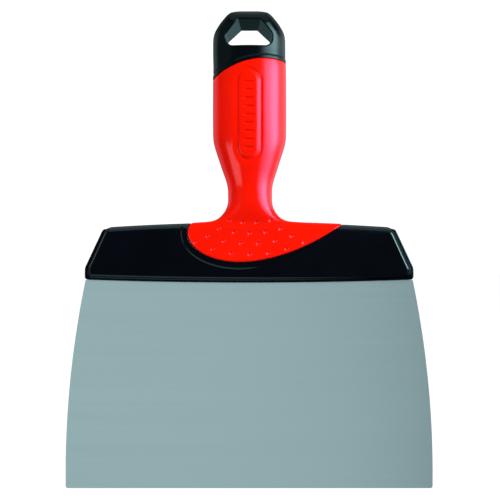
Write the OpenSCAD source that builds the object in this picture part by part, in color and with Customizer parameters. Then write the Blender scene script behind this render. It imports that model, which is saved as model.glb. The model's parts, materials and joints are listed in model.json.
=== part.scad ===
// Flexible putty knife: a thin steel blade, a backing bar and a two-material handle.
// Frame: X across the blade, Y through its thickness (front is -Y), Z up the handle.
// Origin: middle of the working edge, on the mid-plane of the steel.

/* [Blade] */
// Width of the working edge
blade_w = 200; // [185:1:215]
// Free length, from the working edge to the mouth of the backing bar
blade_free = 112; // [100:1:125]
// Thickness of the steel sheet
blade_t = 0.5; // [0.4:0.05:0.6]
// Thickness left at the ground working edge
edge_t = 0.34; // [0.2:0.02:0.38]
// Height of the ground band above the working edge
edge_grind = 14; // [8:1:20]
// Radius of the long curve down each side
side_r = 515; // [450:5:700]
// Share of the free length that bends with the edge
flex_share = 0.85; // [0.8:0.01:0.88]

/* [Backing bar] */
// Height of the bar at the middle, mouth to top
bar_h = 32.7; // [32:0.1:34]
// Thickness of the bar near its mouth
bar_t_mouth = 7.2; // [7:0.1:8]
// Thickness of the bar at its top
bar_t_top = 10.4; // [10:0.1:11.4]
// Width of the thin flange along the bar's ends and mouth
flange_w = 1.9; // [1.4:0.1:2.4]
// Height the soft pads stand proud of the bar's faces
pad_proud = 1.2; // [0.8:0.1:1.6]

/* [Handle] */
// Length of the handle above the bar
handle_l = 114.8; // [112:0.1:120]
// Width of the grip at its widest
grip_w = 40; // [39:0.5:43]
// Thickness of the grip at its thickest
grip_t = 27.6; // [27:0.2:30]
// Squareness of the grip's section, 2 being an ellipse
grip_n = 2.25; // [2:0.05:2.5]

/* [Grip texture] */
// Diameter of each dimple in the soft pads
dimple_d = 2.4; // [1.8:0.1:2.8]
// Depth of each dimple
dimple_h = 0.6; // [0.4:0.1:0.8]
// Depth of the short cross grooves on the grip
groove_h = 0.45; // [0.3:0.05:0.6]

/* [Fasteners] */
// Diameter of the bar rivets
rivet_d = 4; // [3:0.5:4]
// Diameter of the moulded blade pins
pin_d = 4; // [3:0.5:4.5]
// Diameter of the tang pins
tang_pin_d = 4; // [3:0.5:4]

/* [Hidden] */

// Main heights
mouth = blade_free;
bar_top = mouth + bar_h;
top = bar_top + handle_l;
flex_z = flex_share * blade_free;

// Size relative to the standard blade and handle
blade_scale = blade_w / 200;
scale_x = grip_w / 40;
scale_y = grip_t / 27.6;
scale_z = handle_l / 114.8;

// height that stands this far above the bar on a handle of standard length
function handle_z(rise) = bar_top + rise * scale_z;

// ---------------------------------------------------------------- drawing helpers
// n + 1 points along an arc about [cx, cz]
function ring(cx, cz, radius, from, to, n) = [
    for (i = [0:n])
        let (a = from + (to - from) * i / n)
        [cx + radius * cos(a), cz + radius * sin(a)]];

// points of the +X (or +Y) half, mirrored and in reverse order
function mirrored(half) = [for (i = [len(half) - 1:-1:0]) [-half[i][0], half[i][1]]];

// cubic Bezier through four control points
function bezier(p, t) =
    pow(1 - t, 3) * p[0] + 3 * t * pow(1 - t, 2) * p[1]
    + 3 * t * t * (1 - t) * p[2] + t * t * t * p[3];

// power that keeps the sign
function signed_pow(v, p) = v < 0 ? -pow(-v, p) : pow(v, p);

module symmetric(half) { polygon(concat(half, mirrored(half))); }

// lays an XZ drawing out along Y, between two depths in either order
module through(ya, yb) {
    translate([0, max(ya, yb), 0]) rotate([90, 0, 0]) linear_extrude(abs(yb - ya)) children();
}

// lays a YZ drawing out along X, half on each side
module across(half) {
    rotate([90, 0, 90]) translate([0, 0, -half]) linear_extrude(2 * half) children();
}

// cylinder along Y, between two depths in either order
module post(x, z, radius, ya, yb) {
    translate([x, max(ya, yb), z]) rotate([90, 0, 0])
        cylinder(r = radius, h = abs(yb - ya), $fn = 48);
}

// ---------------------------------------------------------------- fasteners
rivet_z = mouth + 20;
rivet_x = [-18, 0, 18];
rivet_r = rivet_d / 2;
rivet_head_r = rivet_r + 1;
rivet_head_t = 0.9;
// blade pins on the standard blade: x, height above the mouth
pin_spots = [[-76, 8], [-60, 14], [-45, 8], [45, 8], [60, 14], [76, 8]];
pin_r = pin_d / 2;
pin_hole_r = pin_r + 0.05;
tang_pin_z = [handle_z(25.3), handle_z(60.3)];

module rivet_posts(radius, ya, yb) {
    for (x = rivet_x) post(x, rivet_z, radius, ya, yb);
}

module pin_posts(radius, ya, yb) {
    for (p = pin_spots) post(p[0] * blade_scale, mouth + p[1], radius, ya, yb);
}

module tang_pin_holes(ya, yb) {
    for (z = tang_pin_z) post(0, z, tang_pin_d / 2, ya, yb);
}

// ---------------------------------------------------------------- blade
corner_r = 1.2;
side_straight = 8;  // height of the straight part of each side
side_steps = 14;
root_gap = 0.05;    // between the free sheet's rounded top and the clamped sheet
shoulder = mouth + 1.5;
tang_half = 84.5 * blade_scale;
tang_chamfer_x = 5.5;
tang_chamfer_z = mouth + 6;
tang_top = mouth + 24;

// half width of the sheet at height z
function side_x(z) = let (rise = z - side_straight)
    blade_w / 2 - (rise > 0 ? side_r - sqrt(side_r * side_r - rise * rise) : 0);

// sheet outline between two heights, with rounded corners if it starts at the edge
module blade_outline(z0, z1) {
    start = max(z0, corner_r);
    symmetric(concat(
        z0 == 0 ? ring(blade_w / 2 - corner_r, corner_r, corner_r, -90, 0, 5)
                : [[side_x(z0), z0]],
        [for (i = [1:side_steps]) let (z = start + (z1 - start) * i / side_steps)
            [side_x(z), z]]));
}

// free part of the sheet, with its ground edge; its top edge is rounded about the flex line
module blade() {
    flex_half = side_x(flex_z) - 0.1;
    color("lightsteelblue") union() {
        intersection() {
            through(-1, 1) blade_outline(0, flex_z);
            across(blade_w)
                symmetric([[edge_t / 2, -1], [edge_t / 2, 0],
                           [blade_t / 2, edge_grind], [blade_t / 2, flex_z]]);
        }
        translate([-flex_half, 0, flex_z]) rotate([0, 90, 0])
            cylinder(r = blade_t / 2, h = 2 * flex_half, $fn = 32);
    }
}

// outline of the sheet's tang, the part inside the bar
module tang_outline(z0) {
    symmetric([[tang_half, z0], [tang_half, tang_chamfer_z],
               [tang_half - tang_chamfer_x, tang_top]]);
}

// clamped part of the sheet, punched for the moulded pins and the rivets
module blade_root() {
    color("lightsteelblue") difference() {
        through(-blade_t / 2, blade_t / 2) union() {
            blade_outline(flex_z + blade_t / 2 + root_gap, shoulder);
            tang_outline(shoulder - 1);
        }
        pin_posts(pin_hole_r, -1, 1);
        rivet_posts(rivet_r, -1, 1);
    }
}

// ---------------------------------------------------------------- backing bar
lip_y = 1.7;                  // half thickness of the flange
recess_y = 2.9;               // depth, from the mid-plane, of the leaf recess floor
recess_top = bar_top - 1.7;   // highest reach of the bar inside the leaf
bar_reach = 9;                // past the bar's faces
cut_reach = 12;               // past everything on the bar
tang_slot_z = mouth - 2;
// slanted end: its normal in XZ, and its distance from the origin along that normal
end_normal = [0.9056, 0.4241];
end_distance = end_normal[0] * 89.3 * blade_scale + end_normal[1] * (mouth + 8.2);

function arc_top(x) = bar_top - x * x / 2300;
function mouth_z(x) = mouth + x * x / 4840;
function half_t(z) = (bar_t_mouth + (bar_t_top - bar_t_mouth) * (z - mouth) / bar_h) / 2;

// centre, at height z, of a corner that touches the slanted end
function end_corner(z, radius, inset) =
    [(end_distance - inset - radius - end_normal[1] * z) / end_normal[0], z];

// the bar's outline, drawn in at its ends and its mouth
module bar_outline(inset) {
    low_r = 4 - inset / 2;
    high_r = 2 - inset / 2;
    low_z = mouth_z(85 * blade_scale) + inset;
    high_z = arc_top(79 * blade_scale) - (inset > 0 ? 0 : 0.7);
    low = end_corner(low_z + low_r, low_r, inset);
    high = end_corner(high_z - high_r, high_r, inset);
    right = concat(
        [for (i = [1:8]) let (x = low[0] * i / 8) [x, mouth_z(x) + inset]],
        ring(low[0], low[1], low_r, -85, 25, 6),
        ring(high[0], high[1], high_r, 25, 85, 4),
        [for (i = [7:-1:1]) let (x = high[0] * i / 8) [x, arc_top(x)]]);
    polygon(concat([[0, mouth + inset]], right, [[0, bar_top]], mirrored(right)));
}

// the bar's section, grown on both faces
module bar_section(grow) {
    low_z = mouth + 4.6;
    high_z = bar_top - 3.4;
    across(blade_w)
        symmetric([[half_t(mouth) - 1.4 + grow, mouth - 1], [half_t(low_z) + grow, low_z],
                   [half_t(high_z) + grow, high_z], [half_t(bar_top) - 2 + grow, bar_top + 1]]);
}

// Leaf curve of the soft pad
leaf_left = 33.3;         // reach of the steep left end
leaf_belly_x = -5.5;      // lowest point, where the left curve meets the right one
leaf_arc_z = bar_top - 5.2;
leaf_arc_h = 16.4;
leaf_right = 50.8;
leaf_top = bar_top + 15.3;
leaf_steps = 12;

// down the steep left end, along the low belly, up the long right end; grown outward
function leaf(grow = 0) =
    let (belly_z = leaf_arc_z - leaf_arc_h - grow,
         right_end = [[leaf_belly_x, belly_z], [16, belly_z],
                      [38 + 0.3 * grow, bar_top - 10.3 - 0.7 * grow],
                      [leaf_right, bar_top - 0.8]])
    concat(
        [[-leaf_left - grow, leaf_top], [-leaf_left - grow, bar_top - 1.1]],
        [for (i = [0:leaf_steps]) let (a = 180 + 90 * i / leaf_steps)
            [leaf_belly_x + (leaf_left + leaf_belly_x + grow) * cos(a),
             leaf_arc_z + (leaf_arc_h + grow) * sin(a)]],
        [for (i = [1:leaf_steps]) bezier(right_end, i / leaf_steps)],
        [[leaf_right, leaf_top]]);

// one half of the bar's outside (side -1 front, 1 rear), with the leaf recess for the soft grip
module bar_blank(side) {
    difference() {
        union() {
            intersection() {
                through(0, side * bar_reach) bar_outline(flange_w);
                bar_section(0);
            }
            // low raised border around the leaf
            intersection() {
                through(0, side * bar_reach) intersection() {
                    bar_outline(flange_w);
                    polygon(leaf(3.3));
                }
                bar_section(0.45);
            }
            through(0, side * lip_y) bar_outline(0);
        }
        through(side * recess_y, side * cut_reach) polygon(leaf());
        // trims the bar's top inside the leaf
        through(-cut_reach, cut_reach) intersection() {
            polygon(leaf());
            polygon(concat([for (x = [-70:7:70]) [x, min(arc_top(x) - 1.6, recess_top)]],
                           [[70, top], [-70, top]]));
        }
    }
}

// rivet holes and head sinks in one half of the bar
module bar_rivet_holes(side) {
    rivet_posts(rivet_r, -side, side * 6);
    rivet_posts(rivet_head_r, side * (recess_y - rivet_head_t), side * 6);
}

module bar_front() {
    color("#0b0d10") difference() {
        bar_blank(-1);
        through(-blade_t / 2, 1) tang_outline(tang_slot_z);
        pin_posts(pin_hole_r, -2.8, 1);
        bar_rivet_holes(-1);
    }
}

// rear half, which carries the moulded pins
module bar_rear() {
    color("#0b0d10") union() {
        difference() {
            bar_blank(1);
            through(-1, blade_t / 2) tang_outline(tang_slot_z);
            through(0, plate_y1) plate_outline();
            bar_rivet_holes(1);
        }
        pin_posts(pin_r, -2.6, 1);
    }
}

// flat-headed rivets through bar, sheet and plate, under the soft pads
module bar_rivets() {
    color("silver") for (x = rivet_x) {
        post(x, rivet_z, rivet_r, -recess_y, recess_y);
        for (side = [-1, 1])
            post(x, rivet_z, rivet_head_r, side * (recess_y - rivet_head_t), side * recess_y);
    }
}

// ---------------------------------------------------------------- tang
plate_y0 = blade_t / 2;
plate_y1 = plate_y0 + 1.5;
plate_half = 30;
plate_z = mouth + 7;
plate_h = 22;
stem_w = 14;
stem_z = mouth + 20;
stem_top = handle_z(81.3);

// wide foot with cut upper corners, and a narrow stem
module plate_outline() {
    difference() {
        union() {
            translate([-plate_half, plate_z]) square([2 * plate_half, plate_h]);
            translate([-stem_w / 2, stem_z]) square([stem_w, stem_top - stem_z]);
        }
        for (side = [-1, 1])
            translate([side * plate_half, plate_z + plate_h]) rotate(45) square(6, center = true);
    }
}

module plate_blank() { through(plate_y0, plate_y1) plate_outline(); }

// steel stiffener behind the sheet, running up inside the handle
module tang_plate() {
    color("gray") difference() {
        plate_blank();
        rivet_posts(rivet_r, -1, 3);
        tang_pin_holes(-1, 3);
    }
}

module tang_pins() {
    low_y = core_neck[1];
    high_y = core_body[1] - 1;
    color("silver") {
        post(0, tang_pin_z[0], tang_pin_d / 2, -low_y, low_y);
        post(0, tang_pin_z[1], tang_pin_d / 2, -high_y, high_y);
    }
}

// ---------------------------------------------------------------- handle core
// half sizes of the core's sections: x, y
core_foot = [9.3 * scale_x, 4.4];
core_neck = [9.3 * scale_x, 6.9 * scale_y];
core_body = [17 * scale_x, 10.8 * scale_y];
core_spigot = [12 * scale_x, 7.5 * scale_y];
foot_top = handle_z(5.3);
neck_top = handle_z(19.3);
body_z = handle_z(45.3);
body_top = handle_z(74.3);
spigot_top = handle_z(92.5);
slice = 0.01;

// straight length of the core, its section a rectangle with cut corners
module core_length(z0, z1, half) {
    cut_y = 0.42 * half[1];
    cut_x = 1.6 * cut_y;
    translate([0, 0, z0]) linear_extrude(z1 - z0)
        symmetric([[half[0] - cut_x, -half[1]], [half[0], -half[1] + cut_y],
                   [half[0], half[1] - cut_y], [half[0] - cut_x, half[1]]]);
}

module core_taper(z0, half0, z1, half1) {
    hull() {
        core_length(z0, z0 + slice, half0);
        core_length(z1 - slice, z1, half1);
    }
}

// hard core's outside: foot on the bar, waist, body, and a beaded spigot for the end cap
module core_blank() {
    union() {
        core_length(recess_top, foot_top, core_foot);
        core_taper(foot_top, core_foot, neck_top, core_neck);
        core_taper(neck_top, core_neck, body_z, core_body);
        core_length(body_z, body_top, core_body);
        core_length(body_top, spigot_top, core_spigot);
        for (side = [-1, 1])
            translate([-6, side * core_spigot[1] - 0.5, handle_z(89.3)]) cube([12, 1, 1.6]);
    }
}

module handle_core() {
    hole_y = core_body[1] + 2;
    color("#15171a") difference() {
        core_blank();
        plate_blank();
        tang_pin_holes(-hole_y, hole_y);
    }
}

// ---------------------------------------------------------------- handle body
// stations up the handle: share of its length, of half its width, of half its thickness
profile = [
    [-0.03, 0.63, 0.44], [0.02, 0.63, 0.55], [0.081, 0.622, 0.652], [0.128, 0.60, 0.688],
    [0.176, 0.62, 0.71], [0.223, 0.705, 0.761], [0.271, 0.79, 0.826], [0.318, 0.875, 0.891],
    [0.366, 0.958, 0.949], [0.399, 0.9925, 0.978], [0.45, 1.0, 0.995], [0.55, 1.0, 1.0],
    [0.64, 1.0, 0.978], [0.76, 0.992, 0.92], [0.882, 0.98, 0.79], [0.9024, 0.94, 0.761],
    [0.93, 0.85, 0.71], [0.959, 0.735, 0.652], [0.978, 0.645, 0.60], [0.992, 0.54, 0.536],
    [1.0, 0.43, 0.45]];
grip_last = 15;   // the grip's last station
cap_first = 11;   // the end cap's first station
section_n = 40;
handle_reach = 40;

function station(p) = [for (i = [0:section_n - 1]) let (t = 360 * i / section_n)
    [p[1] * grip_w / 2 * signed_pow(cos(t), 2 / grip_n),
     p[2] * grip_t / 2 * signed_pow(sin(t), 2 / grip_n),
     bar_top + p[0] * handle_l]];

// smooth body between two stations of the profile
module handle_form(first, last) {
    n = section_n;
    spans = last - first;
    polyhedron(
        points = [for (i = [first:last]) each station(profile[i])],
        faces = concat(
            [[for (j = [0:n - 1]) j]],
            [for (i = [0:spans - 1]) for (j = [0:n - 1])
                let (low = i * n, high = low + n, next = (j + 1) % n)
                each [[low + j, high + j, high + next], [low + j, high + next, low + next]]],
            [[for (j = [n - 1:-1:0]) spans * n + j]]));
}

// half thickness of that body at x, z
function form_y(x, z) = let (
    share = (z - bar_top) / handle_l,
    half_x = lookup(share, [for (p = profile) [p[0], p[1]]]) * grip_w / 2,
    half_y = lookup(share, [for (p = profile) [p[0], p[2]]]) * grip_t / 2,
    u = min(1, abs(x) / half_x)) half_y * pow(1 - pow(u, grip_n), 1 / grip_n);

// boundary between the soft grip and the end cap, the same on both faces
function swoosh(x) = let (u = x / scale_x)
    handle_z(86.65 + 0.226 * u - 0.0123 * u * u + 0.00003 * pow(u, 3));

// everything above the swoosh
module above_swoosh() {
    through(-handle_reach, handle_reach)
        polygon(concat([for (x = [-24:2:24]) [x, swoosh(x)]], [[24, top + 10], [-24, top + 10]]));
}

// ---------------------------------------------------------------- grip
flare_x = 25;
// soft pad's section: height, half thickness
pad_profile = [[mouth, half_t(mouth) + pad_proud],
               [bar_top - 4, half_t(bar_top - 4) + pad_proud],
               [bar_top + 2, half_t(bar_top)], [bar_top + 12, half_t(bar_top)]];
// dimples lie in arcs about a point above the pad
dimple_rows = 4;
dimple_first_row = 7;   // dimples in the lowest row; each row above has one fewer
dimple_angle = 8.35;
dimple_centre = [0.3, bar_top + 51.9];
dimple_row_r = 69.5;
dimple_row_step = 5.75;
// short cross grooves: x length, y size of the cutter, z width
groove = [6, 3, 1.2];
groove_z = [for (i = [-4:4]) handle_z(57.3 + 4.4 * i)];

// soft pad's outline: the leaf, cut off along the bar's top, with a flare up to the neck
module pad_outline() {
    union() {
        intersection() {
            polygon(leaf());
            polygon(concat([for (x = [-70:7:70]) [x, arc_top(x)]], [[70, mouth], [-70, mouth]]));
        }
        symmetric(concat([[flare_x, bar_top - 3]],
                         ring(flare_x, bar_top + 12.75, 13, 270, 180, 8)));
    }
}

function dimple_row(row) = let (last = dimple_first_row - 1 - row,
                                radius = dimple_row_r - dimple_row_step * row)
    [for (i = [0:last]) let (a = (i - last / 2) * dimple_angle)
        dimple_centre + radius * [sin(a), -cos(a)]];

// depth of the soft surface at x, z
function face_y(x, z) = max(lookup(z, pad_profile), z < bar_top - 3 ? 0 : form_y(x, z));

module dimples() {
    for (row = [0:dimple_rows - 1]) for (p = dimple_row(row)) for (side = [-1, 1])
        translate([p[0], side * (face_y(p[0], p[1]) - dimple_h), p[1]])
            rotate([-90 * side, 0, 0])
            cylinder(d1 = dimple_d * 0.5, d2 = dimple_d * 1.5, h = dimple_h * 2, $fn = 16);
}

module grooves() {
    for (z = groove_z) for (side = [-1, 1]) {
        middle_y = side * (form_y(groove[0] / 2, z) - groove_h + groove[1] / 2);
        translate([0, middle_y, z] - groove / 2) cube(groove);
    }
}

// soft overmould: handle body and leaf pads, hollowed for the parts inside
module grip() {
    color("#ff2a0a") difference() {
        union() {
            handle_form(0, grip_last);
            intersection() {
                through(-bar_reach, bar_reach) pad_outline();
                across(60) symmetric([for (p = pad_profile) [p[1], p[0]]]);
            }
        }
        dimples();
        grooves();
        above_swoosh();
        bar_blank(-1);
        bar_blank(1);
        core_blank();
        plate_blank();
    }
}

// ---------------------------------------------------------------- end cap
// corners of the hanging hole: x, height above the bar, radius, start angle, end angle, steps
hang_corners = [
    [-8.0, 97.7, 2.7, 180, 270, 4], [9.0, 97.7, 2.7, 270, 360, 4],
    [9.6, 99.7, 2.0, 0, 45, 3], [3.9, 105.6, 1.7, 45, 90, 3],
    [-3.5, 105.6, 1.7, 90, 135, 3], [-8.7, 99.7, 2.0, 135, 180, 3]];

module end_cap() {
    color("#0b0d10") difference() {
        intersection() {
            handle_form(cap_first, len(profile) - 1);
            above_swoosh();
        }
        core_blank();
        through(-handle_reach, handle_reach)
            polygon([for (c = hang_corners)
                each ring(c[0] * scale_x, handle_z(c[1]), c[2], c[3], c[4], c[5])]);
    }
}

blade();
blade_root();
bar_front();
bar_rear();
bar_rivets();
tang_plate();
tang_pins();
handle_core();
grip();
end_cap();
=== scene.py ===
"""A wide-bladed filling knife with a rubber grip, standing on its blade edge.

z runs up from the blade edge to the end cap, x runs across the blade and y through it.
The front faces -y. The handle lies on x = 0 and the sheet's middle plane on y = 0.
Shapes are worked out in mm and written to meshes in metres. Each moulded piece is a
distance field, negative inside the solid.
"""
import json
import math

import bpy
import numpy as np
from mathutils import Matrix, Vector

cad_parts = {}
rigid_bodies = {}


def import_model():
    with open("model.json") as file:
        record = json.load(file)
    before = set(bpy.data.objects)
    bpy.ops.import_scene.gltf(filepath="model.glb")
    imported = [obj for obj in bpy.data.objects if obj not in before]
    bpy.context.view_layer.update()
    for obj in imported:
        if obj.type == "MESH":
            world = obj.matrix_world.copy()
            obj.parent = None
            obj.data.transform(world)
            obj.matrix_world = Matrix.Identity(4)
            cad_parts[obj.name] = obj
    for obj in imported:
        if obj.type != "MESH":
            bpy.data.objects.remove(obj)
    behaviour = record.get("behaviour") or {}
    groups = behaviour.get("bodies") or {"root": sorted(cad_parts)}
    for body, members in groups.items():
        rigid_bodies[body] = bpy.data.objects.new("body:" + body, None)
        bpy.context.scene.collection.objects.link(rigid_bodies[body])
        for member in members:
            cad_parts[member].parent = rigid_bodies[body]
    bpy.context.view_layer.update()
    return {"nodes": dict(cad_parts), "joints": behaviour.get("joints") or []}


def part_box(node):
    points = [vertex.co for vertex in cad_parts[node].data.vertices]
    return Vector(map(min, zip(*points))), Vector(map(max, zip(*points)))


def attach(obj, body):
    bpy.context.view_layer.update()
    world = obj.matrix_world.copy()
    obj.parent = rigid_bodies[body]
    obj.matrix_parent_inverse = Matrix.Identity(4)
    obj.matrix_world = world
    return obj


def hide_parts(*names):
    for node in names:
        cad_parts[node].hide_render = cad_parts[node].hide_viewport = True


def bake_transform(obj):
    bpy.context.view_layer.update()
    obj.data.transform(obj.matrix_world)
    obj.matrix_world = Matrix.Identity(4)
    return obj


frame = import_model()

# ---------------------------------------------------------------- sizes in mm, from the CAD frame


def box_mm(name):
    low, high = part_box(name)
    return np.array(low) * 1000, np.array(high) * 1000


blade_low, blade_high = box_mm("blade")
cap_high = box_mm("end_cap")[1]
joint = frame["joints"][0]
BODY_A, BODY_B = joint["parent"], joint["child"]

BLADE_HALF = blade_high[0]
SHEET_THICK = blade_high[1] - blade_low[1]
TANG_TOP = box_mm("blade_root")[1][2]
MOUTH = box_mm("bar_front")[0][2]     # underside of the bar, where the sheet goes in
BAR_HEIGHT = 32.7
BAR_TOP = MOUTH + BAR_HEIGHT
TOP = cap_high[2]

# the shapes are drawn at nominal size and scaled to the CAD pieces
DRAWN_BAR_TOP = 144.7
DRAWN_HANDLE = 114.8
DRAWN_CAP_HALF = 19.9
DRAWN_GRIP_HALF_DEPTH = 13.8
BAR_SCALE = BLADE_HALF / 100
Z_SCALE = (TOP - BAR_TOP) / DRAWN_HANDLE
X_SCALE = cap_high[0] / DRAWN_CAP_HALF
Y_SCALE = box_mm("grip")[1][1] / DRAWN_GRIP_HALF_DEPTH
LIFT = BAR_TOP - DRAWN_BAR_TOP        # for heights that are moved but not scaled


def real_z(drawn):
    return BAR_TOP + (drawn - DRAWN_BAR_TOP) * Z_SCALE


# ---------------------------------------------------------------- distance-field helpers


def smooth(t):
    t = np.clip(t, 0, 1)
    return t * t * (3 - 2 * t)


def round_or(one, two, radius):
    """Union with a filleted inner corner."""
    u = np.maximum(radius - one, 0)
    v = np.maximum(radius - two, 0)
    return np.maximum(radius, np.minimum(one, two)) - np.sqrt(u * u + v * v)


def round_and(one, two, radius):
    """Overlap with a rounded outer edge."""
    u = np.maximum(radius + one, 0)
    v = np.maximum(radius + two, 0)
    return np.minimum(-radius, np.maximum(one, two)) + np.sqrt(u * u + v * v)


def soft_or(one, two, reach):
    """Union with a soft blend."""
    h = np.maximum(reach - np.abs(one - two), 0) / reach
    return np.minimum(one, two) - h * h * h * reach / 6


class Curve:
    """A smooth curve over height through (drawn z, value) stations, with its slope."""

    STEP = 0.1

    def __init__(self, stations, scale, blur):
        drawn, value = np.array(stations, float).T
        knot, value = real_z(drawn), value * scale
        chord = np.diff(value) / np.diff(knot)
        tangent = np.zeros_like(value)
        tangent[0], tangent[-1] = chord[0], chord[-1]
        for i in range(1, len(value) - 1):
            below, above = chord[i - 1], chord[i]
            tangent[i] = 0 if below * above <= 0 else 2 * below * above / (below + above)
        self.at = np.arange(knot[0] - 10, knot[-1] + 10, self.STEP)
        q = np.clip(self.at, knot[0], knot[-1])
        i = np.clip(np.searchsorted(knot, q, side="right") - 1, 0, len(knot) - 2)
        span = knot[i + 1] - knot[i]
        t = (q - knot[i]) / span
        fine = ((2 * t**3 - 3 * t**2 + 1) * value[i]
                + (t**3 - 2 * t**2 + t) * span * tangent[i]
                + (-2 * t**3 + 3 * t**2) * value[i + 1]
                + (t**3 - t**2) * span * tangent[i + 1])
        kernel = np.exp(-0.5 * (np.arange(-60, 61) * self.STEP / blur) ** 2)
        padded = np.pad(fine, 60, mode="edge")
        self.value = np.convolve(padded, kernel / kernel.sum(), mode="valid")
        self.rise = np.gradient(self.value, self.STEP)

    def __call__(self, z):
        return np.interp(z, self.at, self.value)

    def slope(self, z):
        return np.interp(z, self.at, self.rise)


# ---------------------------------------------------------------- handle section

# drawn z, half width
HALF_WIDTH = Curve([
    (130, 12.0), (154, 12.0), (162, 12.05), (164.9, 12.4), (167.6, 13.1), (170.3, 14.0),
    (173, 14.95), (175.8, 15.85), (178.5, 16.75), (181.2, 17.65), (183.9, 18.5), (186.7, 19.3),
    (189.4, 19.8), (192.5, 19.95), (205, 20.0), (222, 19.95), (236, 19.85), (270, 19.8),
], X_SCALE, blur=1.0)
# drawn z, half depth
HALF_DEPTH = Curve([
    (130, 3.0), (136, 3.2), (139, 3.9), (141, 4.8), (143, 5.7), (145, 6.45), (147, 7.1),
    (150, 8.0), (153, 8.75), (157, 9.3), (163, 9.65), (170, 10.4), (178, 11.7), (186, 12.9),
    (194, 13.55), (203, 13.8), (214, 13.7), (224, 13.4), (232, 13.15), (240, 12.9),
    (250, 12.4), (262, 11.8),
], Y_SCALE, blur=1.2)
# drawn z, superellipse exponent: 2 is an ellipse, more is squarer
SQUARENESS = Curve([
    (130, 4.6), (143, 4.6), (146, 4.0), (149, 3.2), (153, 2.6), (158, 2.3), (166, 2.15),
    (185, 2.2), (205, 2.22), (228, 2.2), (240, 2.06), (262, 2.05),
], 1, blur=1.5)

FLARE_RADIUS = 13
FLARE_HEIGHT = 12.6
FLARE_END_SLOPE = 3.937


def flare(z):
    """How far the waist spreads out sideways where it meets the bar, and its slope."""
    u = np.clip(BAR_TOP + FLARE_HEIGHT - z, 0, FLARE_HEIGHT)
    r = np.sqrt(FLARE_RADIUS**2 - u * u)
    e = np.clip(BAR_TOP - z, 0, 1)
    spread = FLARE_RADIUS - r + FLARE_END_SLOPE * (e - e * e / 2)
    return spread, -u / r * np.where(u < FLARE_HEIGHT, 1, 1 - e)


def handle_section(x, y, z, widen=0.0, deepen=0.0):
    """The handle's rounded section, as a first-order distance."""
    # the section sits slightly to the right, by an amount that changes with height
    x = x - 0.22 * smooth((real_z(237) - z) / 9)
    x = x - 0.28 * np.exp(-(((z - real_z(158)) / 13) ** 2))
    spread, spread_slope = flare(z)
    half_x = HALF_WIDTH(z) + widen + spread
    half_y = HALF_DEPTH(z) + deepen
    n = SQUARENESS(z)
    power_x, power_y = (np.abs(x) / half_x) ** n, (np.abs(y) / half_y) ** n
    total = np.maximum(power_x + power_y, 1e-3)
    q = total ** (1 / n)
    g = q / total
    gx = g * power_x / np.maximum(np.abs(x), 1e-6)
    gy = g * power_y / np.maximum(np.abs(y), 1e-6)
    gz = -g * (power_x * (HALF_WIDTH.slope(z) + spread_slope) / half_x
               + power_y * HALF_DEPTH.slope(z) / half_y)
    return (q - 1) / np.maximum(np.sqrt(gx * gx + gy * gy + gz * gz), 1e-3)


# seam between grip and end cap: slope at the middle, bend, twist
SEAM_SLOPE, SEAM_BEND, SEAM_TWIST = 0.226, 0.0123, 0.00003


def seam_gap(x, z):
    """Distance above the curved seam between the grip and the end cap."""
    u = x / X_SCALE
    seam = real_z(231.35 + SEAM_SLOPE * u - SEAM_BEND * u * u + SEAM_TWIST * u**3)
    return (z - seam) / np.sqrt(1 + (SEAM_SLOPE - 2 * SEAM_BEND * x) ** 2)


# core outline: height, half width, half depth
CORE_Z = [*(real_z(drawn) for drawn in (150, 164, 190, 219)), real_z(219) + 0.01]
CORE_X = [part * X_SCALE for part in (9.3, 9.3, 17, 17, 12)]
CORE_Y = [4.4, *(part * Y_SCALE for part in (6.9, 10.8, 10.8, 7.5))]


def core(x, y, z):
    """The hard core inside the grip and the end cap."""
    half_x = np.interp(z, CORE_Z, CORE_X)
    half_y = np.interp(z, CORE_Z, CORE_Y)
    cut = 0.42 * half_y
    corner = (np.abs(x) + 1.6 * np.abs(y) - (half_x + 1.6 * (half_y - cut))) / 1.887
    d = np.maximum(np.maximum(np.abs(x) - half_x, np.abs(y) - half_y), corner)
    return np.maximum(d, np.maximum(BAR_TOP - 1.7 - z, z - real_z(237.2)))


# ---------------------------------------------------------------- bar outlines

TOP_RADIUS = 1150
MOUTH_RADIUS = 2420
BAR_THICK_LOW, BAR_THICK_GAIN = 7.2, 3.2
SIDE_NX, SIDE_NZ = 0.9056, 0.4241     # normal of the slanting bar end
SIDE_REACH = SIDE_NX * 89.3 * BAR_SCALE + SIDE_NZ * (MOUTH + 8.2)
TONGUE_HALF = 2.9                     # half thickness of the bar inside the rubber


def arc_top(x):
    return BAR_TOP - x * x / (2 * TOP_RADIUS)


def bar_top_gap(x, z):
    return (z - arc_top(x)) / np.sqrt(1 + (x / TOP_RADIUS) ** 2)


def shelf(x):
    """Height of the tongue's top."""
    return np.minimum(arc_top(x) - 1.6, BAR_TOP - 1.7)


def bar_half_depth(z):
    return (BAR_THICK_LOW + BAR_THICK_GAIN * (z - MOUTH) / BAR_HEIGHT) / 2


def bar_sides(x, z, inset, raised, radius):
    """The bar's ends and underside, inset at the ends and raised at the mouth."""
    ax = np.abs(x)
    slant = SIDE_NX * ax + SIDE_NZ * z - SIDE_REACH + inset
    side = round_and(slant, ax - 89.4 * BAR_SCALE + 1.05 * inset, 0.5)
    mouth = MOUTH + x * x / (2 * MOUTH_RADIUS)
    return round_and(side, mouth + raised - z, radius)


# The rubber spreads over the bar as a leaf: a quarter ellipse on the left and a Bezier
# curve on the right, carried on as a straight line. Control points: x, drawn z.
LEAF_BEZIER = [(-5.5, 123.1), (16, 123.1), (38, 134.4), (50.8, 143.9)]
LEAF_X = LEAF_BEZIER[0][0]
LEAF_HALF_X, LEAF_HALF_Z = 27.8, 15.8
LEAF_MID_Z = 138.9


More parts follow.
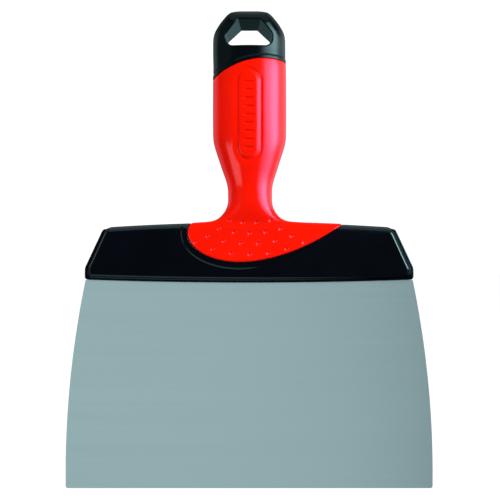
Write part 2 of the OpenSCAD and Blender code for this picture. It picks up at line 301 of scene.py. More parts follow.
def leaf_right():
    """Lower edge of the leaf's right side: x, height and slope."""
    t = np.linspace(0, 1, 400)
    curve_x, curve_z = [
        (1 - t)**3 * a + 3 * t * (1 - t)**2 * b + 3 * t**2 * (1 - t) * c + t**3 * d
        for a, b, c, d in zip(*LEAF_BEZIER)]
    (turn_x, turn_z), (end_x, end_z) = LEAF_BEZIER[2:]
    end_slope = (end_z - turn_z) / (end_x - turn_x)
    at = np.arange(LEAF_X, 80, 0.1)
    height = np.interp(at, curve_x, curve_z)
    height = np.where(at > end_x, end_z + (at - end_x) * end_slope, height) + LIFT
    return at, height, np.gradient(height, 0.1)


RIGHT_X, RIGHT_Z, RIGHT_SLOPE = leaf_right()


def leaf(x, z):
    """Distance outside the leaf, negative where the rubber is."""
    u = np.minimum(x - LEAF_X, 0) / LEAF_HALF_X
    v = (z - LEAF_MID_Z - LIFT) / LEAF_HALF_Z
    s = np.maximum(np.sqrt(u * u + v * v), 1e-3)
    steep = np.sqrt((u / LEAF_HALF_X) ** 2 + (v / LEAF_HALF_Z) ** 2) / s
    left = (s - 1) / np.maximum(steep, 1e-3)
    slope = np.interp(x, RIGHT_X, RIGHT_SLOPE)
    right = (np.interp(x, RIGHT_X, RIGHT_Z) - z) / np.sqrt(1 + slope ** 2)
    return np.where(x < LEAF_X, left, right)


# ---------------------------------------------------------------- soft grip

FAN_X, FAN_Z = 0.3, LIFT + 196.6      # centre of the dimple arcs
FAN_RADIUS, FAN_ROW_STEP = 69.5, 5.75
FAN_ANGLE = 8.35
FAN_ROWS, FAN_FIRST_ROW = 4, 7
DIMPLE_RADIUS, DIMPLE_DEPTH = 1.4, 0.54
GROOVE_Z = [real_z(202 + 4.4 * i) for i in range(-4, 5)]


def fan_points():
    """Dimple centres, in arcs that lose one dimple per row going up."""
    points = []
    for row in range(FAN_ROWS):
        count = FAN_FIRST_ROW - row
        radius = FAN_RADIUS - FAN_ROW_STEP * row
        for i in range(count):
            angle = math.radians((i - (count - 1) / 2) * FAN_ANGLE)
            points.append((FAN_X + radius * math.sin(angle), FAN_Z - radius * math.cos(angle)))
    return points


FAN = fan_points()


def dimples(x, z):
    nearest = np.inf
    for px, pz in FAN:
        nearest = np.minimum(nearest, (x - px) ** 2 + (z - pz) ** 2)
    r = np.sqrt(nearest + 0.05) / DIMPLE_RADIUS
    return DIMPLE_DEPTH * np.maximum(1 - r, 0) ** 1.2


def rounded_box(x, z, x0, x1, z0, z1, radius):
    """Distance to a rounded rectangle."""
    ux = np.abs(x - (x0 + x1) / 2) - (x1 - x0) / 2 + radius
    uz = np.abs(z - (z0 + z1) / 2) - (z1 - z0) / 2 + radius
    outside = np.sqrt(np.maximum(ux, 0) ** 2 + np.maximum(uz, 0) ** 2)
    return outside + np.minimum(np.maximum(ux, uz), 0) - radius


def grooves(x, z):
    """A long oval groove with short cross grooves inside it."""
    ring = rounded_box(x, z, -6.0, 6.6, real_z(178.2), real_z(226.4), radius=6.25)
    # soft on the outer side at the left, and on the inner side at the right
    turn = smooth((x - 0.3) / 9 + 0.5)
    wide = np.where(ring > 0, 2.0 - 1.58 * turn, 0.42 + 1.58 * turn)
    depth = 0.5 * np.exp(-((ring / wide) ** 2))
    ends = 1 - smooth((np.abs(x) - 1.2) / 2.6)
    for groove_z in GROOVE_Z:
        depth = np.maximum(depth, 0.6 * ends * np.exp(-(((z - groove_z) / 0.48) ** 2)))
    return depth


def grip_field(x, y, z):
    ay = np.abs(y)
    handle = np.maximum(handle_section(x, y, z), BAR_TOP - 6.0 - z)
    handle = np.maximum(handle, 0.5 * (np.abs(x) - 25 * X_SCALE))
    pad_half = bar_half_depth(np.minimum(z, BAR_TOP - 3.4)) + 1.2
    pad_top = bar_top_gap(x, z) - 0.25 - 0.15 * smooth(x / 30)
    pad = round_and(pad_top, (ay - pad_half) * 0.996, 3.6)
    pad = round_and(pad, leaf(x, z), 1.0)
    grip = soft_or(handle, pad, 3.4)
    grip = grip + dimples(x, z) + grooves(x, z)
    grip = round_and(grip, seam_gap(x, z), 0.45)
    tongue = np.maximum(ay - TONGUE_HALF, z - shelf(x))
    grip = np.maximum(grip, -tongue)
    return np.maximum(grip, -core(x, y, z))


# ---------------------------------------------------------------- end cap

# drawn z, half width
CAP_HALF_WIDTH = Curve([
    (225, 21.4), (238, 21.2), (241, 20.9), (243.6, 20.35), (245.8, 19.7), (246.9, 19.2),
    (248.0, 18.7), (249.1, 18.0), (250.2, 17.25), (251.2, 16.55), (252.3, 15.75), (253.4, 14.8),
    (254.5, 13.8), (255.6, 12.8), (256.7, 11.6), (257.8, 10.0), (258.5, 8.6), (259.0, 7.2),
    (259.5, 5.4), (260.0, 3.4),
], X_SCALE, blur=0.5)

# hole sides, right then left: sign of x, roof corner x, side corner x, then the gains in
# roof corner x, side corner x and side corner z towards the front
HOLE_SIDES = [(1, 5.1, 12.0, 1.2, 1.0, 1.45), (-1, 3.85, 10.9, 1.3, 1.4, 0.8)]


def cap_outline(x, y, z):
    side = (np.abs(x) - CAP_HALF_WIDTH(z)) / np.sqrt(1 + CAP_HALF_WIDTH.slope(z) ** 2)
    return round_and(side, z - (TOP - 0.08 - 0.028 * y * y), 0.9)


def hole(x, y, z):
    """Six-sided opening, drafted so that it is widest at the front."""
    across = x / X_SCALE + 0.5
    up = (z - BAR_TOP) / Z_SCALE + DRAWN_BAR_TOP
    t = (10 - y) / 19
    roof = 251.6 + 1.8 * t
    d = up - roof
    for sign, roof_x, side_x, roof_gain, side_gain, z_gain in HOLE_SIDES:
        u = sign * across
        top_u, side_u, side_z = roof_x + roof_gain * t, side_x + side_gain * t, 244.6 + z_gain * t
        nx, nz = roof - side_z, side_u - top_u
        slant = (nx * (u - top_u) + nz * (up - roof)) / np.sqrt(nx * nx + nz * nz)
        d = round_and(d, round_and(slant, u - side_u, 0.5), 0.3)
    return round_and(d, 239.9 - 0.4 * (0.7 - 0.058 * y) - up, 4.4)


def cap_field(x, y, z):
    gap = seam_gap(x, z)
    # a slightly raised lip along the seam, with a fine groove above it
    lip = 0.20 * smooth((2.15 - gap) / 0.5) - 0.26 * np.exp(-(((gap - 2.5) / 0.34) ** 2))
    cap = handle_section(x, y, z, widen=-0.12, deepen=-0.2) - lip
    cap = round_and(cap, cap_outline(x, y, z), 0.9 + 3.8 * smooth(np.abs(y) / 9))
    cap = round_and(cap, -hole(x, y, z), 0.7)
    cap = round_and(cap, 0.08 - gap, 0.4)
    return np.maximum(cap, -core(x, y, z))


# ---------------------------------------------------------------- bar halves

TANG_HALF = 84.5
TANG_SHOULDER = 6                     # height above the mouth where the tang starts to narrow
TANG_TAPER = 5.5


def tang_taper(z):
    above = np.maximum(z - MOUTH - TANG_SHOULDER, 0)
    return TANG_TAPER * above / (TANG_TOP - MOUTH - TANG_SHOULDER)


def bar_shapes(x, y, z, leaf_gap):
    """The bar's thick body and the thin flange around it."""
    ay = np.abs(y)
    top = bar_top_gap(x, z)
    # a raised collar below the leaf that runs out to the right
    reach = 3.4 * (1 - smooth((x - 2) / 46))
    collar = 0.5 * smooth((reach + 0.55 - leaf_gap) / 1.1) * smooth((reach - 0.2) / 0.6)
    body = round_and(ay - bar_half_depth(z) - collar, top, 4.2)
    body = round_and(bar_sides(x, z, inset=2.15, raised=1.85, radius=1.6), body, 1.6)
    flange = bar_sides(x, z, inset=0.0, raised=0.0, radius=1.7)
    flange = round_and(round_and(flange, top + 0.85, 1.1), ay - 1.75, 0.4)
    return body, flange


def bar_field(x, y, z, rear):
    ay = np.abs(y)
    leaf_gap = leaf(x, z)
    bar = round_or(*bar_shapes(x, y, z, leaf_gap), 0.9)
    bar = round_and(bar, 0.02 - y if rear else y + 0.02, 0.5)
    # make room for the rubber, beside the tongue and above it
    bar = np.maximum(bar, -np.maximum(leaf_gap - 0.12, TONGUE_HALF - ay))
    bar = np.maximum(bar, -np.maximum(leaf_gap - 0.12, shelf(x) - z))
    half = (TANG_HALF + 0.1) * BAR_SCALE - tang_taper(z)
    tang = np.maximum(np.maximum(np.abs(x) - half, z - TANG_TOP - 0.1), MOUTH - 5 - z)
    bar = np.maximum(bar, -np.maximum(tang, ay - SHEET_THICK / 2))
    if rear:
        plate = np.maximum(np.abs(x) - 30.1, MOUTH + 6.9 - z)
        return np.maximum(bar, -np.maximum(plate, y - SHEET_THICK / 2 - 1.55))
    return bar


# ---------------------------------------------------------------- from a field to a clean mesh

RELAX_ROUNDS = 5


def sample(field, low, count, step):
    """Field values on a grid, worked out in slabs to save memory."""
    gx, gy, gz = [low[i] + step * np.arange(count[i]) for i in range(3)]
    values = np.empty(count, np.float32)
    slab = max(1, int(1.5e6 / (count[1] * count[2])))
    for i in range(0, count[0], slab):
        part = field(gx[i:i + slab, None, None], gy[None, :, None], gz[None, None, :])
        values[i:i + slab] = np.broadcast_to(part, values[i:i + slab].shape)
    return values


def surface_net(values):
    """One vertex per crossed cell, in grid units, and one quad per crossed edge."""
    count = np.array(values.shape)
    inside = values < 0
    corners = [(a, b, c) for a in (0, 1) for b in (0, 1) for c in (0, 1)]
    filled = np.zeros(count - 1, np.int8)
    for a, b, c in corners:
        filled += inside[a:count[0] - 1 + a, b:count[1] - 1 + b, c:count[2] - 1 + c]
    active = (filled > 0) & (filled < 8)
    cells = np.argwhere(active)
    index = np.full(active.shape, -1, np.int64)
    index[active] = np.arange(len(cells))

    offset = np.zeros((len(cells), 3))
    hits = np.zeros(len(cells))
    for start in corners:
        for axis in range(3):
            if start[axis]:
                continue
            end = list(start)
            end[axis] = 1
            value_a = values[tuple((cells + start).T)]
            value_b = values[tuple((cells + end).T)]
            hit = (value_a < 0) != (value_b < 0)
            t = np.where(hit, value_a / np.where(hit, value_a - value_b, 1), 0)
            crossing = np.repeat(np.array(start, float)[None], len(cells), 0)
            crossing[:, axis] = t
            offset[hit] += crossing[hit]
            hits[hit] += 1

    quads = []
    for axis in range(3):
        u, w = (axis + 1) % 3, (axis + 2) % 3
        edge = np.argwhere(np.diff(inside, axis=axis))
        for side in (u, w):
            edge = edge[(edge[:, side] > 0) & (edge[:, side] < count[side] - 1)]
        outward = inside[tuple(edge.T)]
        ring = []
        for du, dw in ((-1, -1), (0, -1), (0, 0), (-1, 0)):
            cell = edge.copy()
            cell[:, u] += du
            cell[:, w] += dw
            ring.append(index[tuple(cell.T)])
        ring = np.stack(ring, 1)
        ring[~outward] = ring[~outward][:, ::-1]
        quads.append(ring)
    return cells + offset / hits[:, None], np.concatenate(quads)


def gradient(field, points, reach=0.02):
    result = np.empty_like(points)
    for i in range(3):
        shift = np.zeros(3)
        shift[i] = reach
        ahead, behind = field(*(points + shift).T), field(*(points - shift).T)
        result[:, i] = (ahead - behind) / (2 * reach)
    return result


def unit_gradient(field, points, reach=0.02):
    slope = gradient(field, points, reach)
    return slope / np.maximum(np.linalg.norm(slope, axis=1), 1e-6)[:, None]


def settle(field, points, step):
    """Move points onto the surface, by half a grid step at most."""
    slope = gradient(field, points)
    move = -(field(*points.T) / np.maximum((slope * slope).sum(1), 0.05))[:, None] * slope
    size = np.linalg.norm(move, axis=1)
    return points + move * np.minimum(1, 0.5 * step / np.maximum(size, 1e-9))[:, None]


def surface(field, low, high, step):
    """Vertices, quads and normals of the field's zero surface."""
    low, high = np.array(low, float), np.array(high, float)
    count = np.ceil((high - low) / step).astype(int) + 1
    points, quads = surface_net(sample(field, low, count, step))
    points = points * step + low
    for _ in range(2):
        points = settle(field, points, step)
    total = len(points)
    start, end = np.concatenate([quads[:, [i, (i + 1) % 4]] for i in range(4)]).T
    neighbours = np.bincount(start, minlength=total) + np.bincount(end, minlength=total)
    for _ in range(RELAX_ROUNDS):
        around = np.stack([np.bincount(start, points[end, i], total)
                           + np.bincount(end, points[start, i], total) for i in range(3)], 1)
        move = 0.5 * (around / neighbours[:, None] - points)
        normal = unit_gradient(field, points)
        move -= (move * normal).sum(1)[:, None] * normal
        points = settle(field, points + move, step)
    points = settle(field, points, step)
    return points, quads, unit_gradient(field, points, reach=0.06)


def add_object(name, data):
    ob = bpy.data.objects.new(name, data)
    bpy.context.scene.collection.objects.link(ob)
    return ob


def make(name, points, faces, normals=None, angle=None):
    """A smooth-shaded quad mesh object from points in mm."""
    me = bpy.data.meshes.new(name)
    faces = np.asarray(faces)
    me.vertices.add(len(points))
    me.vertices.foreach_set("co", (np.asarray(points) / 1000).astype(np.float32).ravel())
    me.loops.add(faces.size)
    me.loops.foreach_set("vertex_index", faces.astype(np.int32).ravel())
    me.polygons.add(len(faces))
    starts = np.arange(0, faces.size, faces.shape[1], dtype=np.int32)
    me.polygons.foreach_set("loop_start", starts)
    me.update(calc_edges=True)
    me.validate()
    me.polygons.foreach_set("use_smooth", np.ones(len(me.polygons), bool))
    if angle is not None:
        me.set_sharp_from_angle(angle=math.radians(angle))
    if normals is not None and len(normals) == len(me.vertices):
        me.normals_split_custom_set_from_vertices(normals.astype(np.float32))
    me.update()
    return add_object(name, me)


def carve(name, field, low, high, step):
    return make(name, *surface(field, low, high, step))


GRID = 0.45
GRIP_Y = Y_SCALE * DRAWN_GRIP_HALF_DEPTH + 2

grip = carve("soft_grip", grip_field,
             (-36, -GRIP_Y, MOUTH + 8), (54, GRIP_Y, real_z(236)), GRID * 1.05)
cap = carve("cap_with_hang_hole", cap_field,
            (-22, -15, real_z(218)), (22, 15, TOP + 1.5), GRID * 0.9)
bar_front = carve("bar_front_half", lambda x, y, z: bar_field(x, y, z, False),
                  (-92, -8, MOUTH - 2), (92, 1.5, BAR_TOP + 2), GRID)
bar_rear = carve("bar_rear_half", lambda x, y, z: bar_field(x, y, z, True),
                 (-92, -1.5, MOUTH - 2), (92, 8, BAR_TOP + 2), GRID)

# ---------------------------------------------------------------- steel sheet, one piece

CORNER_RADIUS = 1.2
SIDE_CURVE_Z, SIDE_CURVE_RADIUS = 8, 515
SHEET_COLUMNS = 60
SHEET_BEVEL = 0.09


def sheet_half_width(z):
    if z > MOUTH + 1.5:
        return TANG_HALF * BAR_SCALE - tang_taper(z)
    half = BLADE_HALF
    if z > SIDE_CURVE_Z:
        half -= SIDE_CURVE_RADIUS - math.sqrt(SIDE_CURVE_RADIUS**2 - (z - SIDE_CURVE_Z) ** 2)
    if z < CORNER_RADIUS:
        rise = CORNER_RADIUS - z
        half -= CORNER_RADIUS - math.sqrt(max(CORNER_RADIUS**2 - rise ** 2, 0))
    return half


def sheet_half_thick(z):
    """The sheet thins towards the edge, and quickly in the last 0.3 mm."""
    thick = SHEET_THICK * (0.68 + 0.32 * min(z / 14, 1))
    if z < 0.3:
        thick *= 0.62 + 0.38 * z / 0.3
    return thick / 2


def sheet():
    levels = [0.0, 0.12, 0.3, 0.55, 0.85, 1.2, 2.0, 3.5, 5.5]
    levels += list(np.arange(SIDE_CURVE_Z, MOUTH - 2, 1.6))
    levels += [MOUTH - 1, MOUTH + 1.45, MOUTH + 1.55, MOUTH + TANG_SHOULDER, TANG_TOP]
    across = np.linspace(-1, 1, SHEET_COLUMNS)
    across = np.sign(across) * (1 - (1 - np.abs(across)) ** 1.25)
    points = []
    for z in levels:
        w, t = sheet_half_width(z), sheet_half_thick(z)
        e = min(SHEET_BEVEL, t * 0.5)
        points += [(x * (w - e), -t, z) for x in across]
        points += [(w, -t + e, z), (w, t - e, z)]
        points += [(x * (w - e), t, z) for x in across[::-1]]
        points += [(-w, t - e, z), (-w, -t + e, z)]
    ring = 2 * SHEET_COLUMNS + 4
    faces = []
    for i in range(len(levels) - 1):
        a, b = i * ring, (i + 1) * ring
        for j in range(ring):
            k = (j + 1) % ring
            faces.append((a + j, a + k, b + k, b + j))
    for base, flip in ((0, True), ((len(levels) - 1) * ring, False)):
        loop = [base + j for j in range(ring)]
        front = loop[:SHEET_COLUMNS]
        back = loop[SHEET_COLUMNS + 2:-2][::-1]
        end_quads = [(front[j], front[j + 1], back[j + 1], back[j])
                     for j in range(SHEET_COLUMNS - 1)]
        end_quads.append((front[-1], loop[SHEET_COLUMNS], loop[SHEET_COLUMNS + 1], back[-1]))
        end_quads.append((loop[-1], front[0], back[0], loop[-2]))
        faces += [quad[::-1] if flip else quad for quad in end_quads]
    return make("steel_sheet", points, faces, angle=30)


blade = sheet()

# ---------------------------------------------------------------- shader helpers


def feed(tree, target, inputs):
    """Set a node's inputs: sockets are linked, anything else is a value."""
    for key, value in inputs.items():
        if isinstance(value, bpy.types.NodeSocket):
            tree.links.new(value, target.inputs[key])
        else:
            target.inputs[key].default_value = value


def node(tree, kind, inputs=None, **settings):
    made = tree.nodes.new(kind)
    for key, value in settings.items():
        setattr(made, key, value)
    feed(tree, made, inputs or {})
    return made


def coords(tree, scale):
    source = node(tree, "ShaderNodeTexCoord").outputs["Object"]
    return node(tree, "ShaderNodeMapping", {"Vector": source, "Scale": scale}).outputs["Vector"]


def noise(tree, scale, detail, rough=0.5):
    """Noise over object space; scale is per axis, in cells per metre."""
    return node(tree, "ShaderNodeTexNoise", {
        "Vector": coords(tree, scale), "Scale": 1.0, "Detail": detail, "Roughness": rough,
    }).outputs["Fac"]


def ramp(tree, fac, low, high, start=0.3, end=0.7):
    made = node(tree, "ShaderNodeValToRGB", {"Fac": fac})
    for stop, place, colour in zip(made.color_ramp.elements, (start, end), (low, high)):
        stop.position = place
        stop.color = (*colour, 1)
    return made.outputs["Color"]


def remap(tree, value, start, end, low=0.0, high=1.0, kind="LINEAR"):
    return node(tree, "ShaderNodeMapRange", {
        "From Min": start, "From Max": end, "To Min": low, "To Max": high, "Value": value,
    }, interpolation_type=kind).outputs["Result"]


def ease(tree, value, start, end, low=0.0, high=1.0):
    return remap(tree, value, start, end, low, high, kind="SMOOTHSTEP")


def calc(tree, operation, *values):
    made = node(tree, "ShaderNodeMath", dict(enumerate(values)), operation=operation)
    return made.outputs[0]


def bump(tree, height, strength, distance):
    return node(tree, "ShaderNodeBump", {
        "Strength": strength, "Distance": distance, "Height": height,
    }).outputs["Normal"]


def material(name):
    made = bpy.data.materials.new(name)
    made.use_nodes = True
    return made, made.node_tree, made.node_tree.nodes["Principled BSDF"]


def blank_tree(block):
    block.use_nodes = True
    block.node_tree.nodes.clear()
    return block.node_tree


# ---------------------------------------------------------------- materials


def brushed_steel():
    made, tree, shader = material("brushed_blade_steel")
    lines = noise(tree, (5, 40, 1500), detail=4, rough=0.6)
    broad = noise(tree, (3, 10, 70), detail=3, rough=0.55)
    soft = noise(tree, (7, 7, 9), detail=2)
    # a mix node of colours: 0 is the factor, 6 and 7 are the colours
    colour = node(tree, "ShaderNodeMix", {
        0: 1.0,
        6: ramp(tree, lines, low=(0.395, 0.575, 0.598), high=(0.415, 0.600, 0.624)),
        7: ramp(tree, broad, low=(0.96, 0.965, 0.97), high=(1, 1, 1)),
    }, data_type="RGBA", blend_type="MULTIPLY")
    feed(tree, shader, {
        "Base Color": colour.outputs[2],
        "Metallic": 0.9,
        "Roughness": remap(tree, soft, 0.3, 0.7, low=0.30, high=0.34),
        "Normal": bump(tree, lines, strength=0.05, distance=0.00003),
    })
    return made


def black_plastic(name, tint, rough):
    made, tree, shader = material(name)
    grain = noise(tree, (900, 900, 900), detail=2)
    cloud = noise(tree, (45, 45, 45), detail=4, rough=0.6)
    feed(tree, shader, {
        "Base Color": ramp(tree, cloud, low=tint, high=tuple(1.5 * c for c in tint)),
        "Roughness": remap(tree, cloud, 0.3, 0.7, low=rough - 0.03, high=rough + 0.04),
        "Specular IOR Level": 0.38,
        "Specular Tint": (0.50, 0.93, 1.0, 1),
        "Normal": bump(tree, grain, strength=0.04, distance=0.00006),
    })
    return made


def red_rubber():
    made, tree, shader = material("red_soft_rubber")
    grain = noise(tree, (1100, 1100, 1100), detail=2)
    cloud = noise(tree, (38, 38, 38), detail=3, rough=0.55)
    feed(tree, shader, {
        "Base Color": ramp(tree, cloud, low=(0.86, 0.0072, 0.0003), high=(0.92, 0.0096, 0.0004)),
        "Roughness": remap(tree, cloud, 0.3, 0.7, low=0.15, high=0.18),
        "Specular IOR Level": 0.5,
        "Specular Tint": (1.0, 0.46, 1.0, 1),
        "Normal": bump(tree, grain, strength=0.06, distance=0.00005),
    })
    return made


def plain_metal(name, base, rough):
    made, tree, shader = material(name)
    cloud = noise(tree, (70, 70, 70), detail=4, rough=0.6)
    lines = noise(tree, (30, 30, 900), detail=3)
    feed(tree, shader, {
        "Base Color": ramp(tree, cloud, low=tuple(0.8 * c for c in base), high=base),
        "Metallic": 1.0,
        "Roughness": remap(tree, cloud, 0.3, 0.7, low=rough, high=rough + 0.12),
        "Normal": bump(tree, lines, strength=0.15, distance=0.00005),
    })
    return made


def paint_corner_shade(plastic):
    """Painted shade: take the reflection out of the corner between flange and body towards the
    bar's right end.
    """
    for ob in (bar_front, bar_rear):
        co = np.empty(len(ob.data.vertices) * 3, np.float32)
        ob.data.vertices.foreach_get("co", co)
        x, y, z = co.reshape(-1, 3).astype(float).T * 1000
        body, flange = bar_shapes(x, y, z, leaf(x, z))
        painted_shade = smooth(2.2 * (1 - np.abs(body - flange) / 1.2)) * smooth((x - 60) / 10)
        # the "corner" attribute holds the painted shade mask
        corner = ob.data.attributes.new("corner", "FLOAT", "POINT")
        corner.data.foreach_set("value", painted_shade.astype(np.float32))
    tree = plastic.node_tree
    # painted shade: the reflection fades to nothing where the mask is full
    fac = node(tree, "ShaderNodeAttribute", attribute_name="corner").outputs["Fac"]
    feed(tree, tree.nodes["Principled BSDF"],
         {"Specular IOR Level": remap(tree, fac, 0.0, 1.0, low=0.38, high=0.0)})


def dress(ob, mat):
    slots = ob.data.materials
    if slots:
        for i in range(len(slots)):
            slots[i] = mat
    else:
        slots.append(mat)


steel = brushed_steel()
bar_black = black_plastic("bar_black_plastic", tint=(0.0011, 0.0014, 0.0028), rough=0.15)
# painted shade in the corner between flange and body at the bar's right end
paint_corner_shade(bar_black)
cap_black = black_plastic("cap_black_plastic", tint=(0.0012, 0.0022, 0.0030), rough=0.17)
red = red_rubber()
CAD_PIECES = {
    "tang_plate": plain_metal("stiffener_steel", base=(0.45, 0.46, 0.47), rough=0.38),
    "bar_rivets": plain_metal("zinc_rivet", base=(0.62, 0.63, 0.64), rough=0.30),
    "tang_pins": plain_metal("zinc_pin", base=(0.60, 0.61, 0.62), rough=0.32),
    "handle_core": black_plastic("core_black_plastic", tint=(0.010, 0.010, 0.011), rough=0.5),
}

for ob, mat, slot in ((blade, steel, "blade_steel"), (bar_front, bar_black, "bar_plastic"),
                      (bar_rear, bar_black, "bar_plastic"), (cap, cap_black, "cap_plastic"),
                      (grip, red, "grip_rubber")):
    dress(ob, mat)
for name, mat in CAD_PIECES.items():
    dress(frame["nodes"][name], mat)

for ob in (grip, cap, bar_front, bar_rear):
    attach(ob, BODY_A)
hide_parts("grip")
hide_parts("end_cap")
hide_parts("bar_front")
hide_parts("bar_rear")
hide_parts("blade_root", "blade")
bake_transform(blade)

# ---------------------------------------------------------------- floor, in metres from here on


def make_floor():
    """A pale disc, seen by the camera only and lit mostly by its own glow."""
    count, radius, z = 96, 6.0, -0.0002
    points = [(0, 0, z)]
    for i in range(count):
        angle = 2 * math.pi * i / count
        points.append((radius * math.cos(angle), radius * math.sin(angle), z))
    me = bpy.data.meshes.new("floor")
    me.from_pydata(points, [], [(0, 1 + i, 1 + (i + 1) % count) for i in range(count)])
    ob = add_object("floor", me)
    mat = bpy.data.materials.new("pale_floor")
    tree = blank_tree(mat)
    pale = ramp(tree, noise(tree, (9, 9, 9), detail=3),
                low=(0.80, 0.80, 0.80), high=(0.84, 0.84, 0.84))
    camera_ray = node(tree, "ShaderNodeLightPath").outputs["Is Camera Ray"]
    glow_share = 0.88
    mixed = node(tree, "ShaderNodeMixShader", {
        0: calc(tree, "MULTIPLY", camera_ray, glow_share),
        1: node(tree, "ShaderNodeBsdfDiffuse", {"Color": pale}).outputs[0],
        2: node(tree, "ShaderNodeEmission", {"Strength": 1.12}).outputs[0],
    })
    node(tree, "ShaderNodeOutputMaterial", {"Surface": mixed.outputs[0]})
    me.materials.append(mat)
    ob.visible_glossy = False
    ob.visible_diffuse = False
    ob.visible_shadow = False
    return ob


# ---------------------------------------------------------------- lights


def around(azimuth, height, away):
    """A place at an angle round from the front, in degrees, positive to the right."""
    angle = math.radians(azimuth)
    return away * math.sin(angle), -away * math.cos(angle), height


def area(name, shine, place, aim, size, radiance, color):
    """A rectangular light seen either by reflections only (shine) or by diffuse light only."""
    width, tall = size
    lamp = bpy.data.lights.new(name, "AREA")
    lamp.shape = "RECTANGLE"
    lamp.size, lamp.size_y = width, tall
    lamp.energy = radiance * math.pi * width * tall
    lamp.color = color
    ob = add_object(name, lamp)
    ob.location = place
    ob.rotation_mode = "QUATERNION"
    ob.rotation_quaternion = (Vector(aim) - Vector(place)).to_track_quat("-Z", "Y")
    ob.visible_camera = False
    ob.visible_glossy = shine
    ob.visible_diffuse = not shine
    return ob


SOFT, SHINE = False, True
WHITE = (1, 1, 1)
LEFT, SIDE_LEFT = around(-50, 0.35, 1.5), around(-105, 0.20, 1.2)
ABOVE = (0.12, -0.10, 0.90)
# name, kind, place, aim, (width, height), radiance, colour
LIGHTS = [
    ("soft_right", SOFT, around(45, 1.20, 2.4), (0, 0, 0.15), (1.8, 1.8), 11.2, WHITE),
    ("soft_left", SOFT, LEFT, (0, 0, 0.35), (1.6, 1.6), 1.2, WHITE),
    ("warm_left", SOFT, LEFT, (0, 0, 0.35), (1.6, 1.6), 1.45, (1.0, 0.45, 0.10)),
    ("soft_back", SOFT, around(170, 0.50, 1.6), (0, 0, 0.50), (1.4, 1.4), 3.0, WHITE),
    ("steel_back", SHINE, (0.14, 1.0, 0.05), (0.02, 0, 0.06), (1.36, 1.8), 0.6, WHITE),
    ("soft_side_left", SOFT, SIDE_LEFT, (0, 0, 0.20), (0.9, 0.9), 2.8, WHITE),
    ("warm_side_left", SOFT, SIDE_LEFT, (0, 0, 0.20), (0.9, 0.9), 3.6, (1.0, 0.5, 0.15)),
    ("shine_left", SHINE, around(-62, 0.17, 0.80), (0, 0, 0.17), (0.75, 1.1), 0.13, WHITE),
    ("shine_waist", SHINE, (-0.51, -0.57, -0.08), (0, 0, 0.165), (0.42, 0.28), 3.4,
     (1.0, 0.95, 0.50)),
    ("shine_end", SHINE, (-0.75, -0.36, 0.02), (-0.08, 0, 0.125), (0.30, 0.45), 0.8, WHITE),
    ("shine_edge", SHINE, (-0.78, 0.22, 0.44), (-0.085, 0, 0.128), (0.30, 0.40), 2.0, WHITE),
    ("shine_end_right", SHINE, (0.41, -0.35, 0.28), (0.085, 0, 0.128), (0.34, 0.36), 18.0, WHITE),
    ("shine_top_cap", SHINE, ABOVE, (0.12, -0.10, 0), (1.1, 1.3), 0.38, WHITE),
    ("shine_top", SHINE, ABOVE, (0.12, -0.10, 0), (1.1, 1.3), 0.95, WHITE),
    ("shine_below", SHINE, (-0.31, -0.22, -0.50), (-0.28, -0.08, 0), (0.78, 0.8), 1.05, WHITE),
    ("steel_soft", SHINE, (-0.14, -1.0, 0.0), (-0.02, 0, 0.06), (1.36, 1.8), 0.69, WHITE),
]

# the curved soft box covers these angles round from the front, in degrees
BOX_START, BOX_SPAN = 20, 86
# angle, share of full brightness
BOX_STOPS = [
    (20, 0.0), (25, 0.06), (30, 0.26), (38, 0.50), (46, 0.72), (54, 0.92),
    (64, 1.00), (71, 0.78), (78, 0.42), (86, 0.21), (96, 0.16), (106, 0.13),
]


def softbox_glow():
    mat = bpy.data.materials.new("softbox_glow")
    tree = blank_tree(mat)
    x, y, z = node(tree, "ShaderNodeSeparateXYZ", {0: coords(tree, (1, 1, 1))}).outputs
    angle = calc(tree, "ARCTAN2", x, calc(tree, "MULTIPLY", y, -1))
    place = remap(tree, angle, math.radians(BOX_START), math.radians(BOX_START + BOX_SPAN))
    curve = node(tree, "ShaderNodeValToRGB", {"Fac": place})
    stops = curve.color_ramp.elements
    while len(stops) < len(BOX_STOPS):
        stops.new(0.5)
    for stop, (degrees, share) in zip(stops, BOX_STOPS):
        stop.position = (degrees - BOX_START) / BOX_SPAN
        stop.color = (share, share, share, 1)
    # full strength in the middle, fading towards the top and the bottom
    fade_top = ease(tree, z, 0.40, 0.56, low=12.0, high=0.3)
    fade_bottom = ease(tree, z, -0.16, 0.12, low=0.25, high=1.0)
    glow = node(tree, "ShaderNodeEmission", {
        "Strength": calc(tree, "MULTIPLY", fade_top, fade_bottom),
        "Color": curve.outputs["Color"],
    })
    node(tree, "ShaderNodeOutputMaterial", {"Surface": glow.outputs[0]})
    return mat


def softbox():
    """A tall curved soft box on the right, seen by reflections only."""
    radius, low, high, columns, rows = 0.80, -0.42, 0.78, 40, 12
    points, faces = [], []
    for i in range(columns + 1):
        for j in range(rows + 1):
            height = low + (high - low) * j / rows
            points.append(around(BOX_START + BOX_SPAN * i / columns, height, radius))
    for i in range(columns):
        for j in range(rows):
            k = i * (rows + 1) + j
            faces.append((k, k + 1, k + rows + 2, k + rows + 1))
    me = bpy.data.meshes.new("softbox_right")
    me.from_pydata(points, [], faces)
    ob = add_object("softbox_right", me)
    me.materials.append(softbox_glow())
    ob.visible_camera = False
    ob.visible_diffuse = False
    ob.visible_shadow = False
    return ob


def only(light, *targets, leave=False):
    """Limit a light to some pieces, or keep it off them."""
    group = bpy.data.collections.new(light.name + "_link")
    for target in targets:
        group.objects.link(target)
    light.light_linking.receiver_collection = group
    if leave:
        for item in group.collection_objects:
            item.light_linking.link_state = "EXCLUDE"


floor = make_floor()
lights = [area(*row) for row in LIGHTS]
box = softbox()

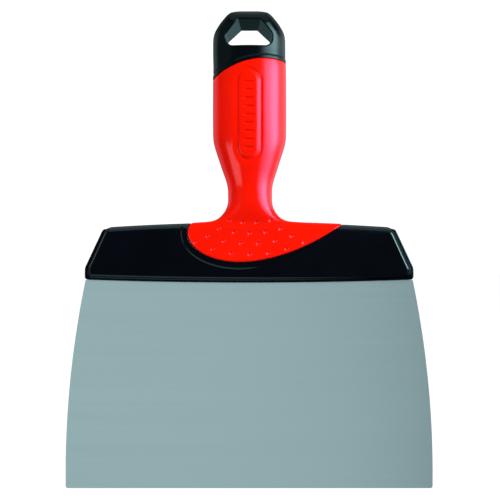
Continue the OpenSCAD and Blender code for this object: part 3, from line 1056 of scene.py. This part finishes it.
lamps = {ob.name: ob for ob in lights}
for names, targets in (
        (("steel_soft", "steel_back"), (blade,)),
        (("shine_below", "shine_top", "shine_end", "shine_edge", "shine_end_right"),
         (bar_front, bar_rear)),
        (("warm_left", "warm_side_left", "shine_waist"), (grip,))):
    for name in names:
        only(lamps[name], *targets)
for name in ("soft_left", "soft_side_left"):
    only(lamps[name], grip, leave=True)
only(lamps["shine_top_cap"], cap)
only(lamps["shine_left"], cap, bar_front, bar_rear)
only(box, blade, bar_front, bar_rear, leave=True)

# ---------------------------------------------------------------- world


def studio_world():
    """White to the camera; to other rays dark in front, pale behind, brighter to the right."""
    world = bpy.data.worlds.new("studio")
    bpy.context.scene.world = world
    tree = blank_tree(world)
    direction = node(tree, "ShaderNodeTexCoord").outputs["Generated"]
    x, y, z = node(tree, "ShaderNodeSeparateXYZ", {0: direction}).outputs
    back = calc(tree, "MULTIPLY", ease(tree, y, -0.10, 0.35),
                ease(tree, y, 0.60, 0.90, low=1.0, high=0.30))
    side = ease(tree, x, -0.10, 0.50, low=0.50, high=1.3)
    level = calc(tree, "MULTIPLY", ease(tree, z, 0.15, 0.50, low=1.0, high=0.25),
                 ease(tree, z, -0.45, -0.15, low=0.2, high=1.0))
    pale = calc(tree, "MULTIPLY", calc(tree, "MULTIPLY", back, side), level)
    base_glow = 0.028
    ambient = node(tree, "ShaderNodeBackground", {
        "Color": ramp(tree, y, low=(0.93, 1.0, 1.0), high=(0.52, 0.93, 1.0), start=0.55, end=0.85),
        "Strength": calc(tree, "ADD", base_glow, pale),
    })
    backdrop = node(tree, "ShaderNodeBackground", {"Color": (1, 1, 1, 1), "Strength": 1.1})
    mixed = node(tree, "ShaderNodeMixShader", {
        0: node(tree, "ShaderNodeLightPath").outputs["Is Camera Ray"],
        1: ambient.outputs[0],
        2: backdrop.outputs[0],
    })
    node(tree, "ShaderNodeOutputWorld", {"Surface": mixed.outputs[0]})


studio_world()

# ---------------------------------------------------------------- camera and render settings

CAMERA_AWAY = 0.60
VIEW_WIDTH = 0.2725                   # width seen at the knife
SENSOR_MM = 36

camera_data = bpy.data.cameras.new("camera")
camera_data.sensor_width = SENSOR_MM
camera_data.lens = SENSOR_MM * CAMERA_AWAY / VIEW_WIDTH
camera = add_object("camera", camera_data)
camera.location = (0.00046, -CAMERA_AWAY, TOP / 2000)
camera.rotation_euler = (math.pi / 2, 0, 0)

scene = bpy.context.scene
scene.camera = camera
scene.view_settings.view_transform = "Standard"
scene.view_settings.look = "None"
scene.view_settings.exposure = 0
scene.view_settings.gamma = 1
scene.cycles.use_denoising = True
scene.cycles.max_bounces = 8
